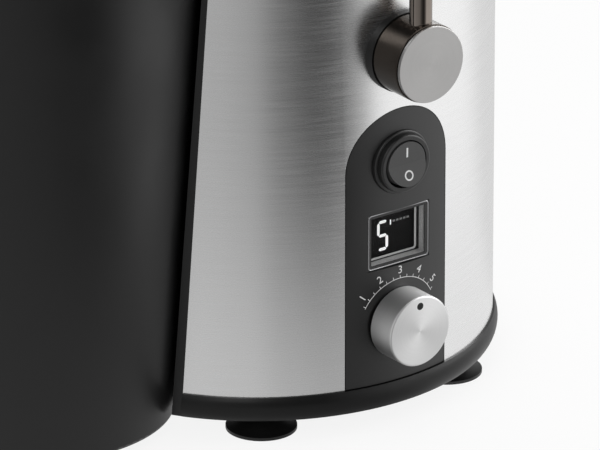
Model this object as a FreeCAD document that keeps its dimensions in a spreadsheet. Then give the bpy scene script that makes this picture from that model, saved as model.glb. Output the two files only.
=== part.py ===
import FreeCAD, Part
import math
import os
import types

import Sketcher

# Centrifugal juicer. Millimetres, +Z up, the control panel faces -Y, the pulp bin stands on the -X side
# and the spout points to +X. The origin is on the counter under the middle of the whole machine.

os.makedirs("parts", exist_ok=True)
doc = FreeCAD.newDocument("Juicer")
sheet = doc.addObject("Spreadsheet::Sheet", "Sizes")

sizes = {
    # Fits shared by many pieces
    "slip_gap": 0.1,
    "running_gap": 0.05,
    "free_gap": 0.5,
    # Suction feet
    "foot_height": 10.0,
    "foot_inset": 16.5,
    "foot_bearing": 35.3,
    "cup_radius": 15.75,
    "cup_lip": 2.4,
    "cup_edge": 1.4,
    "cup_hollow": 3.5,
    "foot_neck": 6.5,
    "foot_stem": 4.0,
    "foot_barb": 5.6,
    "foot_barb_height": 2.6,
    # Base pan
    "ring_height": 11.0,
    "ring_flare": 0.2,
    "ring_top_flare": 0.8,
    "ring_bulge": 9.5,
    "ring_width": 4.0,
    "pan_rise": 2.0,
    "pan_floor": 3.0,
    "pan_lip": 2.2,
    "pan_lip_height": 10.0,
    "vent_count": 16,
    "vent_inner": 22.0,
    "vent_length": 22.0,
    "vent_width": 4.0,
    # Steel shell
    "shell_radius": 105.0,
    "shell_wall": 0.8,
    "shell_height": 222.0,
    # Pulp bin and the nest it stands in
    "bin_axis": 126.0,
    "nest_radius": 72.0,
    "nest_draft": 3.65,
    "liner_wall": 2.4,
    "liner_foot": 4.6,
    "rest_low": 34.0,
    "rest_height": 10.0,
    "rest_span": 56.0,
    "bin_lift": 5.0,
    "bin_radius": 65.5,
    "bin_draft": 4.1,
    "bin_height": 231.0,
    "bin_wall": 2.5,
    "bin_floor": 3.0,
    "bin_corner": 2.0,
    "bin_rim": 1.2,
    "bin_rim_height": 4.0,
    "bin_foot_radius": 50.0,
    "bin_foot_wall": 3.0,
    # Top deck
    "deck_thickness": 4.0,
    "deck_edge": 1.5,
    "deck_skirt": 2.4,
    "deck_skirt_height": 14.0,
    "seat_radius": 64.0,
    "seat_width": 4.0,
    "seat_height": 1.5,
    "collar_radius": 15.0,
    "collar_bore": 11.0,
    "collar_height": 6.0,
    "seal_height": 4.0,
    "column_radius": 5.0,
    "column_inset": 9.7,
    "column_front_bearing": 19.8,
    "column_side_bearing": 65.7,
    # Base screws
    "screw_radius": 1.9,
    "screw_depth": 14.0,
    "screw_head": 3.6,
    "screw_head_height": 2.2,
    # Control panel
    "panel_half_width": 27.4,
    "panel_arch_z": 122.0,
    "panel_gap": 0.4,
    "panel_wall": 3.2,
    "panel_flange": 4.0,
    # Rocker switch
    "switch_z": 124.0,
    "bezel_radius": 14.6,
    "bezel_hole": 11.0,
    "bezel_rise": 1.2,
    "bezel_collar": 2.2,
    "bezel_collar_rise": 4.0,
    "bezel_edge": 0.9,
    "bezel_seat": 1.4,
    "switch_radius": 13.4,
    "switch_depth": 20.0,
    "switch_pocket": 8.5,
    "rocker_radius": 10.0,
    "rocker_back": 3.0,
    "rocker_waist": 3.0,
    "rocker_slope": 9.0,
    "rocker_tilt": 8.0,
    "rocker_hinge_rise": 1.6,
    "rocker_pin": 1.2,
    "rocker_pin_reach": 1.2,
    # Display
    "display_z": 88.5,
    "window_width": 33.5,
    "window_height": 26.5,
    "frame_border": 2.0,
    "frame_setback": 1.6,
    "frame_depth": 10.4,
    "frame_recess": 4.8,
    "glass_width": 25.6,
    "glass_height": 20.4,
    "lens_thickness": 1.0,
    "lens_setback": 0.3,
    "board_width": 50.0,
    "board_bottom": 34.0,
    "board_height": 71.0,
    "board_thickness": 1.6,
    # Speed dial
    "knob_z": 48.6,
    "knob_radius": 16.2,
    "knob_height": 14.2,
    "knob_clearance": 0.3,
    "knob_edge": 0.8,
    "knob_wall": 2.0,
    "knob_hollow": 6.0,
    "knob_hub": 6.0,
    "pointer_circle": 11.9,
    "pointer_radius": 1.7,
    "pointer_depth": 0.8,
    "encoder_width": 15.0,
    "encoder_depth": 7.0,
    "encoder_bush": 3.5,
    "encoder_bush_reach": 1.2,
    "encoder_shaft": 3.0,
    "encoder_shaft_depth": 5.0,
    # Locking arm and its pivots
    "pivot_z": 176.0,
    "pivot_flange": 18.2,
    "pivot_flange_height": 3.2,
    "pivot_pin": 4.0,
    "pivot_pin_reach": 4.0,
    "pivot_pin_depth": 12.0,
    "pivot_pin_head": 6.5,
    "pivot_pin_head_height": 2.5,
    "pivot_hole": 7.0,
    "boss_radius": 12.0,
    "boss_depth": 12.0,
    "hub_radius": 17.7,
    "hub_gap": 0.4,
    "hub_length": 16.2,
    "hub_edge": 0.5,
    "cap_inset": 0.4,
    "cap_thickness": 1.2,
    "cap_groove": 0.5,
    "cap_edge": 0.3,
    "cap_spigot_depth": 1.0,
    "cap_spigot_inset": 1.2,
    "bar_radius": 5.0,
    "bar_stand": 13.8,
    "bar_socket": 10.0,
    "bar_knee_z": 256.0,
    "bar_top_x": 30.0,
    "bar_rise": 21.0,
    "bar_knee_bend": 40.0,
    "bar_corner_bend": 34.0,
    # Safety switch and cord gland
    "safety_width": 20.0,
    "safety_depth": 10.0,
    "safety_height": 16.0,
    "safety_inset": 21.0,
    "safety_lever": 3.0,
    "gland_z": 40.0,
    "gland_radius": 7.4,
    "gland_bore": 3.8,
    "gland_flange": 9.5,
    "gland_flange_height": 3.0,
    "gland_depth": 8.0,
    # Motor
    "stator_z": 95.0,
    "stator_height": 40.0,
    "stator_half": 36.0,
    "stator_corner": 10.0,
    "stator_bore": 21.0,
    "air_gap": 0.6,
    "coil_inner": 23.0,
    "coil_outer": 32.5,
    "coil_height": 11.0,
    "coil_angle": 110.0,
    "bracket_thickness": 5.0,
    "bracket_leg": 4.0,
    "bracket_leg_at": 29.0,
    "upper_reach": 34.0,
    "lower_reach": 34.0,
    "mount_at": 37.0,
    "mount_pad": 9.0,
    "mount_radius": 7.0,
    "mount_height": 6.0,
    "mount_post": 6.0,
    "mount_screw": 2.0,
    "mount_screw_depth": 10.0,
    "mount_screw_head": 4.0,
    "mount_screw_head_height": 2.4,
    "shaft_radius": 4.0,
    "bearing_radius": 11.0,
    "bearing_width": 7.0,
    "bearing_wall": 3.0,
    "winding_radius": 17.0,
    "winding_height": 9.0,
    "winding_edge": 4.0,
    "commutator_radius": 12.0,
    "commutator_height": 14.0,
    "commutator_gap": 2.0,
    "brush_width": 8.0,
    "brush_height": 6.0,
    "brush_length": 16.0,
    "brush_gap": 0.3,
    "holder_wall": 2.0,
    "holder_setback": 3.0,
    "fan_radius": 33.0,
    "fan_hub": 9.0,
    "fan_disc": 2.0,
    "fan_height": 12.0,
    "fan_blades": 9,
    "fan_blade": 1.6,
    "fan_gap": 4.0,
    # Filter basket and its drive
    "drive_half_flat": 10.0,
    "drive_height": 12.0,
    "drive_gap": 1.5,
    "basket_radius": 52.0,
    "basket_flange": 3.0,
    "basket_top_radius": 72.0,
    "basket_height": 23.5,
    "mesh_thickness": 0.9,
    "mesh_slots": 24,
    "mesh_slot_width": 3.0,
    "hub_dome": 17.0,
    "hub_wall": 3.0,
    "labyrinth_radius": 29.0,
    "labyrinth_wall": 2.0,
    "labyrinth_height": 7.0,
    "rim_width": 4.0,
    "rim_height": 5.0,
    "disc_radius": 50.0,
    "disc_thickness": 1.2,
    "tooth_height": 3.0,
    "tooth_length": 5.0,
    "tooth_width": 1.4,
    "tooth_count": 12,
    "tooth_circle": 28.0,
    "tooth_step": 11.0,
    # Filter bowl
    "bowl_inset": 4.0,
    "bowl_wall": 2.5,
    "bowl_height": 25.5,
    "bowl_rim": 2.5,
    "bowl_rim_height": 2.5,
    "bowl_collar": 22.0,
    "bowl_collar_height": 10.0,
    "spout_radius": 9.0,
    "spout_wall": 2.0,
    "spout_lift": 10.5,
    "spout_overhang": 25.0,
    "spout_bend": 10.0,
    "spout_drop": 27.0,
    "lid_seal": 2.0,
    # Lid, hood and chute
    "lid_wall": 2.5,
    "lid_crown": 50.0,
    "lid_height": 51.0,
    "hood_radius": 83.0,
    "hood_gap": 5.0,
    "hood_height": 64.0,
    "hood_lap": 1.8,
    "hood_round": 8.0,
    "chute_offset": 22.0,
    "chute_radius": 35.0,
    "chute_wall": 2.5,
    "chute_top": 418.0,
    "chute_drop": 0.5,
    "chute_rim": 3.5,
    "chute_rim_height": 4.0,
    "saddle_width": 5.0,
    "saddle_half_length": 16.0,
    "saddle_at": 34.0,
    # Pusher
    "pusher_gap": 1.5,
    "pusher_wall": 2.5,
    "pusher_floor": 3.0,
    "pusher_lift": 4.0,
    "pusher_flange": 43.0,
    "pusher_flange_height": 5.0,
    "pusher_edge": 1.5,
}

for row, (alias, amount) in enumerate(sizes.items(), start=1):
    sheet.set(f"A{row}", alias)
    sheet.set(f"B{row}", str(amount))
    sheet.setAlias(f"B{row}", alias)
doc.recompute()


# A length or angle that carries its value and the formula that gives it from the sheet.
class Size:
    def __init__(self, value, text):
        self.value = value
        self.text = text

    def __add__(self, other):
        other = as_size(other)
        return Size(self.value + other.value, f"({self.text} + {other.text})")

    def __radd__(self, other):
        return as_size(other) + self

    def __sub__(self, other):
        other = as_size(other)
        return Size(self.value - other.value, f"({self.text} - {other.text})")

    def __rsub__(self, other):
        return as_size(other) - self

    def __mul__(self, other):
        other = as_size(other)
        return Size(self.value * other.value, f"({self.text} * {other.text})")

    def __rmul__(self, other):
        return as_size(other) * self

    def __truediv__(self, other):
        other = as_size(other)
        return Size(self.value / other.value, f"({self.text} / {other.text})")

    def __neg__(self):
        return Size(-self.value, f"(0 - {self.text})")


def as_size(amount):
    if isinstance(amount, Size):
        return amount
    return Size(float(amount), f"({float(amount)})")


def sine(angle):
    return Size(math.sin(math.radians(angle.value)), f"sin({angle.text})")


def cosine(angle):
    return Size(math.cos(math.radians(angle.value)), f"cos({angle.text})")


def tangent(angle):
    return Size(math.tan(math.radians(angle.value)), f"tan({angle.text})")


def root(amount):
    return Size(math.sqrt(amount.value), f"sqrt({amount.text})")


def larger(first, second):
    return Size(max(first.value, second.value), f"max({first.text}; {second.text})")


d = types.SimpleNamespace(**{name: Size(value, f"Sizes.{name}") for name, value in sizes.items()})
parts = []
up = FreeCAD.Vector(0, 0, 1)
across = FreeCAD.Vector(1, 0, 0)

# Levels and places that several pieces share
pan_under = d.foot_height + d.pan_rise
pan_top = pan_under + d.pan_floor
shell_bottom = d.foot_height + d.ring_height
shell_top = shell_bottom + d.shell_height
shell_inner = d.shell_radius - d.shell_wall
deck_top = shell_top + d.deck_thickness
seat_top = deck_top + d.seat_height
collar_top = deck_top + d.collar_height
lip_top = shell_bottom + d.pan_lip_height
bowl_floor = seat_top + d.bowl_wall
bowl_top = seat_top + d.bowl_height
bowl_radius = d.shell_radius - d.bowl_inset
bowl_outer = bowl_radius + d.bowl_rim
lid_bottom = bowl_top + d.lid_seal
lid_top = lid_bottom + d.lid_height
bar_top_z = lid_top + d.bar_rise
bar_offset = d.shell_radius + d.bar_stand
bin_top = d.bin_lift + d.bin_height
hood_bottom = bin_top + d.hood_gap
hood_top = hood_bottom + d.hood_height
spout_level = seat_top + d.spout_lift
hood_reach = d.bin_axis + d.hood_radius
hood_end = root(bowl_outer * bowl_outer - d.hood_radius * d.hood_radius) - d.hood_lap
spout_reach = d.shell_radius + d.spout_overhang
spout_extent = spout_reach + d.spout_radius
machine_x = (hood_reach - spout_extent) / 2
panel_face = d.shell_radius
panel_inner = d.shell_radius - d.panel_wall
stator_top = d.stator_z + d.stator_height
upper_bracket_z = stator_top + d.upper_reach
upper_bracket_top = upper_bracket_z + d.bracket_thickness
lower_bracket_top = d.stator_z - d.lower_reach
lower_bracket_z = lower_bracket_top - d.bracket_thickness
drive_bottom = collar_top + d.drive_gap
drive_top = drive_bottom + d.drive_height
basket_bottom = seat_top + d.bowl_wall + d.bowl_collar_height + d.drive_gap
flange_top = basket_bottom + d.basket_flange
basket_top = basket_bottom + d.basket_height


def nest_at(height):
    return d.nest_radius + height * tangent(d.nest_draft)


def bin_at(height):
    return d.bin_radius + (height - d.bin_lift) * tangent(d.bin_draft)


def bind(item, path, amount):
    item.setExpression(path, as_size(amount).text)


def place(item, x=0, y=0, z=0, axis=up, angle=0):
    item.Placement = FreeCAD.Placement(FreeCAD.Vector(), FreeCAD.Rotation(axis, as_size(angle).value))
    bind(item, "Placement.Base.x", machine_x + x)
    bind(item, "Placement.Base.y", y)
    bind(item, "Placement.Base.z", z)
    if isinstance(angle, Size):
        bind(item, "Placement.Rotation.Angle", angle)


def new_body(label, several=False):
    body = doc.addObject("PartDesign::Body", label)
    body.Label = label
    body.AllowCompound = several
    place(body)
    parts.append(body)
    return body


# A piece that points out of the front: its own z axis runs out along -Y.
def new_front_body(label, level, tilt=None):
    body = new_body(label)
    turn = 90 if tilt is None else 90 - tilt
    place(body, z=level, axis=across, angle=turn)
    return body


def new_sketch(body, role, shift=(0, 0, 0)):
    sketch = body.newObject("Sketcher::SketchObject", f"{body.Name}_sketch")
    plane = next(item for item in body.Origin.OriginFeatures if item.Role == role)
    sketch.AttachmentSupport = [(plane, "")]
    sketch.MapMode = "FlatFace"
    for letter, amount in zip("xyz", shift):
        bind(sketch, f"AttachmentOffset.Base.{letter}", amount)
    return sketch


def fix_point(sketch, geometry, position, x, y):
    for kind, amount in (("DistanceX", x), ("DistanceY", y)):
        amount = as_size(amount)
        rule = Sketcher.Constraint(kind, -1, 1, geometry, position, amount.value)
        bind(sketch, f"Constraints[{sketch.addConstraint(rule)}]", amount)


def fix_radius(sketch, geometry, radius):
    rule = Sketcher.Constraint("Radius", geometry, radius.value)
    bind(sketch, f"Constraints[{sketch.addConstraint(rule)}]", radius)


# Closed outline through points. A third item bends the stretch after that point into an arc of that
# radius, to the left when it is positive and to the right when it is negative.
def draw_outline(sketch, points, closed=True):
    corners = [(as_size(point[0]), as_size(point[1])) for point in points]
    bends = [as_size(point[2]) if len(point) > 2 else None for point in points]
    ends = []
    stretches = len(points) if closed else len(points) - 1
    for index in range(stretches):
        start = FreeCAD.Vector(*[amount.value for amount in corners[index]])
        finish = FreeCAD.Vector(*[amount.value for amount in corners[(index + 1) % len(points)]])
        bend = bends[index]
        if bend is None:
            geometry = sketch.addGeometry(Part.LineSegment(start, finish), False)
            ends.append((geometry, 1, 2))
            continue
        chord = finish - start
        left = FreeCAD.Vector(-chord.y, chord.x, 0).normalize()
        side = math.copysign(1.0, bend.value)
        rise = math.sqrt(max(bend.value**2 - (chord.Length / 2) ** 2, 0.0))
        centre = (start + finish) * 0.5 + left * rise * side
        first, last = (start, finish) if side > 0 else (finish, start)
        angles = [math.atan2(point.y - centre.y, point.x - centre.x) for point in (first, last)]
        circle = Part.Circle(centre, up, abs(bend.value))
        geometry = sketch.addGeometry(Part.ArcOfCircle(circle, *angles), False)
        ends.append((geometry, 1, 2) if side > 0 else (geometry, 2, 1))
        fix_radius(sketch, geometry, bend if side > 0 else -bend)
    for index, (geometry, first, last) in enumerate(ends):
        fix_point(sketch, geometry, first, *corners[index])
        if index + 1 < len(ends) or closed:
            following, join, _ = ends[(index + 1) % len(ends)]
            sketch.addConstraint(Sketcher.Constraint("Coincident", geometry, last, following, join))
        else:
            fix_point(sketch, geometry, last, *corners[index + 1])


def draw_circle(sketch, x, y, radius):
    middle = FreeCAD.Vector(as_size(x).value, as_size(y).value, 0)
    geometry = sketch.addGeometry(Part.Circle(middle, up, radius.value), False)
    fix_point(sketch, geometry, 3, x, y)
    fix_radius(sketch, geometry, radius)


def rectangle(x0, y0, x1, y1):
    return [(x0, y0), (x1, y0), (x1, y1), (x0, y1)]


def turned(body, kind, points, at, angle=360):
    sketch = new_sketch(body, "XZ_Plane", (at[0], 0, -as_size(at[1])))
    draw_outline(sketch, points)
    feature = body.newObject(f"PartDesign::{kind}", f"{body.Name}_{kind}")
    feature.Profile = sketch
    feature.ReferenceAxis = (sketch, ["V_Axis"])
    bind(feature, "Angle", angle)
    sketch.Visibility = False
    return feature


# Solid of revolution about an upright line of the piece, or the same shape taken away.
def turn(body, points, at=(0, 0), angle=360):
    return turned(body, "Revolution", points, at, angle)


def turn_away(body, points, at=(0, 0)):
    return turned(body, "Groove", points, at)


def drill(body, x, y, bottom, top, radius):
    return turn_away(body, rectangle(0, bottom, radius, top), (x, y))


def raised(body, kind, role, draw, level, length):
    sketch = new_sketch(body, role, (0, 0, level))
    draw(sketch)
    feature = body.newObject(f"PartDesign::{kind}", f"{body.Name}_{kind}")
    feature.Profile = sketch
    bind(feature, "Length", length)
    sketch.Visibility = False
    return feature


# Prism on a plane at a level along its normal. A pad grows along the normal, a pocket against it.
def pad(body, role, points, level, length):
    return raised(body, "Pad", role, lambda sketch: draw_outline(sketch, points), level, length)


def pocket(body, role, points, level, length):
    return raised(body, "Pocket", role, lambda sketch: draw_outline(sketch, points), level, length)


def pad_round(body, role, x, y, radius, level, length):
    return raised(body, "Pad", role, lambda sketch: draw_circle(sketch, x, y, radius), level, length)


def pocket_round(body, role, x, y, radius, level, length):
    return raised(body, "Pocket", role, lambda sketch: draw_circle(sketch, x, y, radius), level, length)


def repeat(body, features, count):
    axis = next(item for item in body.Origin.OriginFeatures if item.Role == "Z_Axis")
    pattern = body.newObject("PartDesign::PolarPattern", f"{body.Name}_pattern")
    pattern.Originals = features
    pattern.Axis = (axis, [""])
    pattern.Angle = 360
    bind(pattern, "Occurrences", count)
    body.Tip = pattern
    return pattern


# Rounds the edges of the newest feature that lie flat at a level and pass a test.
def round_level(body, level, radius, wanted):
    doc.recompute()
    base = body.Tip
    names = []
    for number, edge in enumerate(base.Shape.Edges, start=1):
        box = edge.BoundBox
        flat = abs(box.ZMin - level.value) < 0.01 and abs(box.ZMax - level.value) < 0.01
        if flat and wanted(edge):
            names.append(f"Edge{number}")
    feature = body.newObject("PartDesign::Fillet", f"{body.Name}_fillet")
    feature.Base = (base, names)
    bind(feature, "Radius", radius)
    return feature


# The bin's nest is a cone that opens upwards about the bin's axis.
def cut_nest(body, inset, bottom, top):
    outline = [(0, bottom), (nest_at(bottom) - inset, bottom), (nest_at(top) - inset, top), (0, top)]
    return turn_away(body, outline, (-d.bin_axis, 0))


def foot_places():
    circle = d.shell_radius - d.foot_inset
    x = circle * sine(d.foot_bearing)
    y = circle * cosine(d.foot_bearing)
    return {"front_left": (-x, -y), "front_right": (x, -y), "rear_left": (-x, y), "rear_right": (x, y)}


def column_places():
    circle = shell_inner - d.column_inset
    front = (-circle * sine(d.column_front_bearing), circle * cosine(d.column_front_bearing))
    side = (circle * sine(d.column_side_bearing), circle * cosine(d.column_side_bearing))
    return [(x, y * turn_side) for x, y in (front, side) for turn_side in (-1, 1)]


def four_corners(distance):
    return [(distance * x, distance * y) for x in (-1, 1) for y in (-1, 1)]


def arch(half_width, bottom):
    crown = d.panel_arch_z + half_width
    return [
        (-half_width, bottom),
        (half_width, bottom),
        (half_width, d.panel_arch_z, half_width),
        (0, crown, half_width),
        (-half_width, d.panel_arch_z),
    ]


# Base pan: a floor with a bulged ring that carries the shell, cut back for the bin
def build_base_pan():
    body = new_body("base_pan")
    ring = d.shell_radius + d.ring_flare
    inner = ring - d.ring_width
    lip = shell_inner - d.slip_gap
    turn(body, [
        (0, pan_under),
        (inner, pan_under),
        (inner, d.foot_height),
        (ring, d.foot_height, d.ring_bulge),
        (d.shell_radius + d.ring_top_flare, shell_bottom),
        (lip, shell_bottom),
        (lip, lip_top),
        (lip - d.pan_lip, lip_top),
        (lip - d.pan_lip, pan_top),
        (0, pan_top),
    ])
    cut_nest(body, -d.slip_gap, d.foot_height - 1, lip_top + 1)
    notch = d.panel_half_width + d.panel_flange + d.free_gap
    pocket(body, "XZ_Plane", rectangle(-notch, shell_bottom, notch, lip_top + 1), d.shell_radius, notch)
    for x, y in foot_places().values():
        drill(body, x, y, pan_under - 1, pan_top + 1, d.foot_stem)
    for x, y in column_places():
        drill(body, x, y, pan_under - 1, pan_top + 1, d.screw_radius + d.slip_gap)
    half = d.vent_width / 2
    slot = rectangle(d.vent_inner, -half, d.vent_inner + d.vent_length, half)
    vent = pocket(body, "XY_Plane", slot, pan_top + 1, d.pan_floor + 2)
    repeat(body, [vent], d.vent_count)


def build_suction_feet():
    for name, (x, y) in foot_places().items():
        body = new_body(f"suction_foot_{name}")
        turn(body, [
            (0, d.cup_hollow),
            (d.foot_neck, d.cup_hollow),
            (d.cup_radius - d.cup_lip, 0),
            (d.cup_radius, 0),
            (d.cup_radius, d.cup_edge, -d.cup_radius),
            (d.foot_neck, d.foot_height - d.pan_rise),
            (d.foot_neck, pan_under),
            (d.foot_stem, pan_under),
            (d.foot_stem, pan_top),
            (d.foot_barb, pan_top),
            (d.foot_stem, pan_top + d.foot_barb_height),
            (0, pan_top + d.foot_barb_height),
        ])
        place(body, x, y)


def build_base_screws():
    body = new_body("base_screws", several=True)
    head = d.screw_head_height
    for place_of_screw in column_places():
        turn(body, [
            (0, pan_under - head),
            (d.screw_head - head / 2, pan_under - head),
            (d.screw_head, pan_under - head / 2),
            (d.screw_head, pan_under),
            (d.screw_radius, pan_under),
            (d.screw_radius, pan_top + d.screw_depth),
            (0, pan_top + d.screw_depth),
        ], place_of_screw)


# Rolled steel wall with the arched panel opening, the pivot holes and the cord hole
def build_steel_shell():
    body = new_body("steel_shell")
    turn(body, rectangle(shell_inner, shell_bottom, d.shell_radius, shell_top))
    cut_nest(body, 0, shell_bottom - 1, shell_top + 1)
    depth = d.shell_radius - panel_inner + d.panel_half_width / 2
    pocket(body, "XZ_Plane", arch(d.panel_half_width, shell_bottom - 1), d.shell_radius + 1, depth)
    through = d.shell_radius * 2 + 4
    pocket_round(body, "XZ_Plane", 0, d.pivot_z, d.pivot_hole, d.shell_radius + 2, through)
    pocket_round(body, "XZ_Plane", 0, d.gland_z, d.gland_radius, -d.shell_radius / 2, d.shell_radius)


# Curved wall behind the bin, with a low rest the bin is pushed up against
def build_bin_nest():
    body = new_body("bin_nest")
    low = d.foot_height
    turn(body, [
        (nest_at(low) - d.liner_foot, low),
        (nest_at(low), low),
        (nest_at(shell_top), shell_top),
        (nest_at(shell_top) - d.liner_wall, shell_top),
    ], (-d.bin_axis, 0))
    beyond = d.bin_axis + nest_at(shell_top) + 10
    turn_away(body, rectangle(d.shell_radius, low - 1, beyond, shell_top + 1))
    rest_top = d.rest_low + d.rest_height
    rest = turn(body, [
        (bin_at(d.rest_low) + d.running_gap, d.rest_low),
        (nest_at(d.rest_low) - d.liner_wall / 2, d.rest_low),
        (nest_at(rest_top) - d.liner_wall / 2, rest_top),
        (bin_at(rest_top) + d.running_gap, rest_top),
    ], (-d.bin_axis, 0), d.rest_span)
    rest.Midplane = True


def build_top_deck():
    body = new_body("top_deck")
    skirt = shell_inner - d.slip_gap
    skirt_bottom = shell_top - d.deck_skirt_height
    turn(body, [
        (d.collar_bore, shell_top),
        (skirt - d.deck_skirt, shell_top),
        (skirt - d.deck_skirt, skirt_bottom),
        (skirt, skirt_bottom),
        (skirt, shell_top),
        (d.shell_radius, shell_top),
        (d.shell_radius, deck_top - d.deck_edge, d.deck_edge),
        (d.shell_radius - d.deck_edge, deck_top),
        (d.seat_radius, deck_top),
        (d.seat_radius, seat_top),
        (d.seat_radius - d.seat_width, seat_top),
        (d.seat_radius - d.seat_width, deck_top),
        (d.collar_radius, deck_top),
        (d.collar_radius, collar_top),
        (d.collar_bore, collar_top),
    ])
    cut_nest(body, -d.slip_gap, skirt_bottom - 1, shell_top)
    cut_nest(body, d.liner_wall, shell_top, seat_top + 1)
    root_depth = d.deck_thickness / 2
    for x, y in column_places():
        pad_round(body, "XY_Plane", x, y, d.column_radius, pan_top, shell_top - pan_top + root_depth)
        drill(body, x, y, pan_top - 1, pan_top + d.screw_depth + 1, d.screw_radius + d.slip_gap)
    post_bottom = upper_bracket_top + d.mount_height
    for x, y in four_corners(d.mount_at):
        pad_round(body, "XY_Plane", x, y, d.mount_post, post_bottom, shell_top - post_bottom + root_depth)
        drill(body, x, y, post_bottom - 1, post_bottom + d.mount_screw_depth + 1, d.mount_screw + d.slip_gap)


def build_spindle_seal():
    body = new_body("spindle_seal")
    low = collar_top - d.seal_height
    lip = d.shaft_radius + d.running_gap
    turn(body, [
        (lip + 1, low),
        (d.collar_bore, low),
        (d.collar_bore, collar_top),
        (lip + 3, collar_top),
        (lip, collar_top - 1),
        (lip, low + 1),
    ])


# Arched panel let into the shell, with a hidden flange behind the steel
def build_control_panel():
    body = new_body("control_panel")
    sunk = d.shell_radius - d.panel_half_width
    far = d.shell_radius + 1
    tall = d.panel_arch_z + d.panel_half_width + d.panel_flange + 1
    wide = arch(d.panel_half_width + d.panel_flange, lip_top - d.pan_lip_height + d.panel_gap)
    pad(body, "XZ_Plane", wide, sunk, far - sunk)
    turn_away(body, rectangle(shell_inner - d.slip_gap, 0, far * 2, tall))
    narrow = arch(d.panel_half_width - d.panel_gap, shell_bottom + d.panel_gap)
    pad(body, "XZ_Plane", narrow, sunk, far - sunk)
    turn_away(body, rectangle(panel_face, 0, far * 2, tall))
    turn_away(body, rectangle(0, 0, panel_inner, tall))
    spot = d.bezel_radius + d.slip_gap
    pocket_round(body, "XZ_Plane", 0, d.switch_z, spot, far, d.bezel_seat + 1)
    pocket_round(body, "XZ_Plane", 0, d.switch_z, d.switch_radius + d.slip_gap, far, d.panel_wall * 3)
    half_width = d.window_width / 2
    half_height = d.window_height / 2
    opening = rectangle(-half_width, d.display_z - half_height, half_width, d.display_z + half_height)
    pocket(body, "XZ_Plane", opening, far, d.panel_wall * 3)
    pocket_round(body, "XZ_Plane", 0, d.knob_z, d.encoder_bush + d.slip_gap, far, d.panel_wall * 3)


def build_switch():
    seat = panel_face - d.bezel_seat
    flange_front = panel_face + d.bezel_rise
    front = panel_face + d.bezel_collar_rise
    collar = d.bezel_hole + d.bezel_collar
    hinge = panel_face + d.rocker_hinge_rise
    reach = d.bezel_hole + d.rocker_pin_reach
    pin_hole = d.rocker_pin + d.running_gap
    bezel = new_front_body("switch_bezel", d.switch_z)
    turn(bezel, [
        (d.bezel_hole, seat),
        (d.bezel_radius, seat),
        (d.bezel_radius, flange_front - d.bezel_edge, d.bezel_edge),
        (d.bezel_radius - d.bezel_edge, flange_front),
        (collar, flange_front),
        (collar, front - d.bezel_edge, d.bezel_edge),
        (collar - d.bezel_edge, front),
        (d.bezel_hole, front),
    ])
    pocket_round(bezel, "YZ_Plane", 0, hinge, pin_hole, reach + d.slip_gap, (reach + d.slip_gap) * 2)
    housing = new_front_body("switch_body", d.switch_z)
    turn(housing, [
        (0, seat - d.switch_depth),
        (d.switch_radius, seat - d.switch_depth),
        (d.switch_radius, seat),
        (d.bezel_hole, seat),
        (d.bezel_hole, seat - d.switch_pocket),
        (0, seat - d.switch_pocket),
    ])
    rocker = new_front_body("rocker_button", d.switch_z, d.rocker_tilt)
    place(rocker, y=-hinge, z=d.switch_z, axis=across, angle=90 - d.rocker_tilt)
    rise = d.rocker_radius * tangent(d.rocker_slope)
    crest = d.rocker_waist + rise
    turn(rocker, rectangle(0, -d.rocker_back, d.rocker_radius, crest))
    beyond = d.rocker_radius + 1
    beyond_rise = d.rocker_waist + beyond * tangent(d.rocker_slope)
    valley = [
        (-beyond, beyond_rise),
        (0, d.rocker_waist),
        (beyond, beyond_rise),
        (beyond, crest + beyond),
        (-beyond, crest + beyond),
    ]
    pocket(rocker, "YZ_Plane", valley, beyond, beyond * 2)
    pad_round(rocker, "YZ_Plane", 0, 0, d.rocker_pin, -reach, reach * 2)


def build_display():
    front = panel_face - d.frame_setback
    back = front - d.frame_depth
    half_width = d.window_width / 2 - d.slip_gap
    half_height = d.window_height / 2 - d.slip_gap
    inner_width = half_width - d.frame_border
    inner_height = half_height - d.frame_border
    glass_width = d.glass_width / 2
    glass_height = d.glass_height / 2
    floor = front - d.frame_recess
    frame = new_front_body("display_frame", d.display_z)
    pad(frame, "XY_Plane", rectangle(-half_width, -half_height, half_width, half_height), back, d.frame_depth)
    recess = rectangle(-inner_width, -inner_height, inner_width, inner_height)
    pocket(frame, "XY_Plane", recess, front + 1, d.frame_recess + 1)
    gap = d.slip_gap
    hole = rectangle(-glass_width - gap, -glass_height - gap, glass_width + gap, glass_height + gap)
    pocket(frame, "XY_Plane", hole, floor + 1, d.frame_depth)
    module = new_front_body("lcd_module", d.display_z)
    thickness = floor - back
    face = rectangle(-glass_width, -glass_height, glass_width, glass_height)
    pad(module, "XY_Plane", face, back, thickness)
    lens = new_front_body("display_window", d.display_z)
    pad(lens, "XY_Plane", recess, front - d.lens_setback - d.lens_thickness, d.lens_thickness)
    board = new_front_body("control_board", d.board_bottom)
    half_board = d.board_width / 2
    plate = rectangle(-half_board, 0, half_board, d.board_height)
    pad(board, "XY_Plane", plate, back - d.board_thickness, d.board_thickness)


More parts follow.
